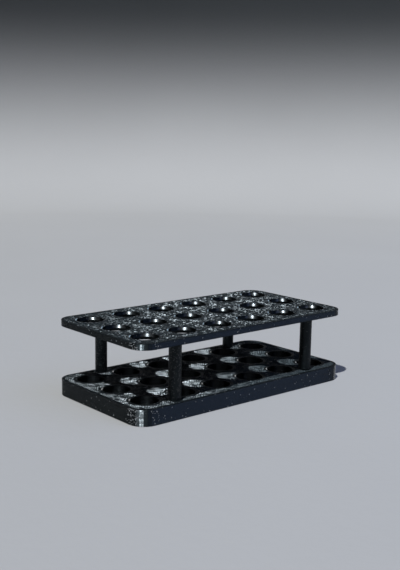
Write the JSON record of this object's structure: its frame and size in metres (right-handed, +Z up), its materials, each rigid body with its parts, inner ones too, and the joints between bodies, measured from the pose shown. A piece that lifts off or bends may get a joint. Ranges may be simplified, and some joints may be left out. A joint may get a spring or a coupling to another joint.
{
  "type": "microcentrifuge tube rack",
  "caption": "One-piece bench rack for small sample tubes: a thin drilled deck on round posts over a thick base with a blind well below each hole.",
  "frame": {"origin": "centre of the base's underside, on the bench", "axes": "+Z up out of the deck, +X along the six columns (the long side), +Y across the three rows"},
  "size_m": [0.11, 0.0576, 0.031],
  "materials": {
    "black_plastic": "black printed plastic: fine layer lines on the upright walls, sparkling diagonal raster on the level faces"
  },
  "bodies": {
    "root": {"tube_rack": "black_plastic"}
  },
  "joints": []
}
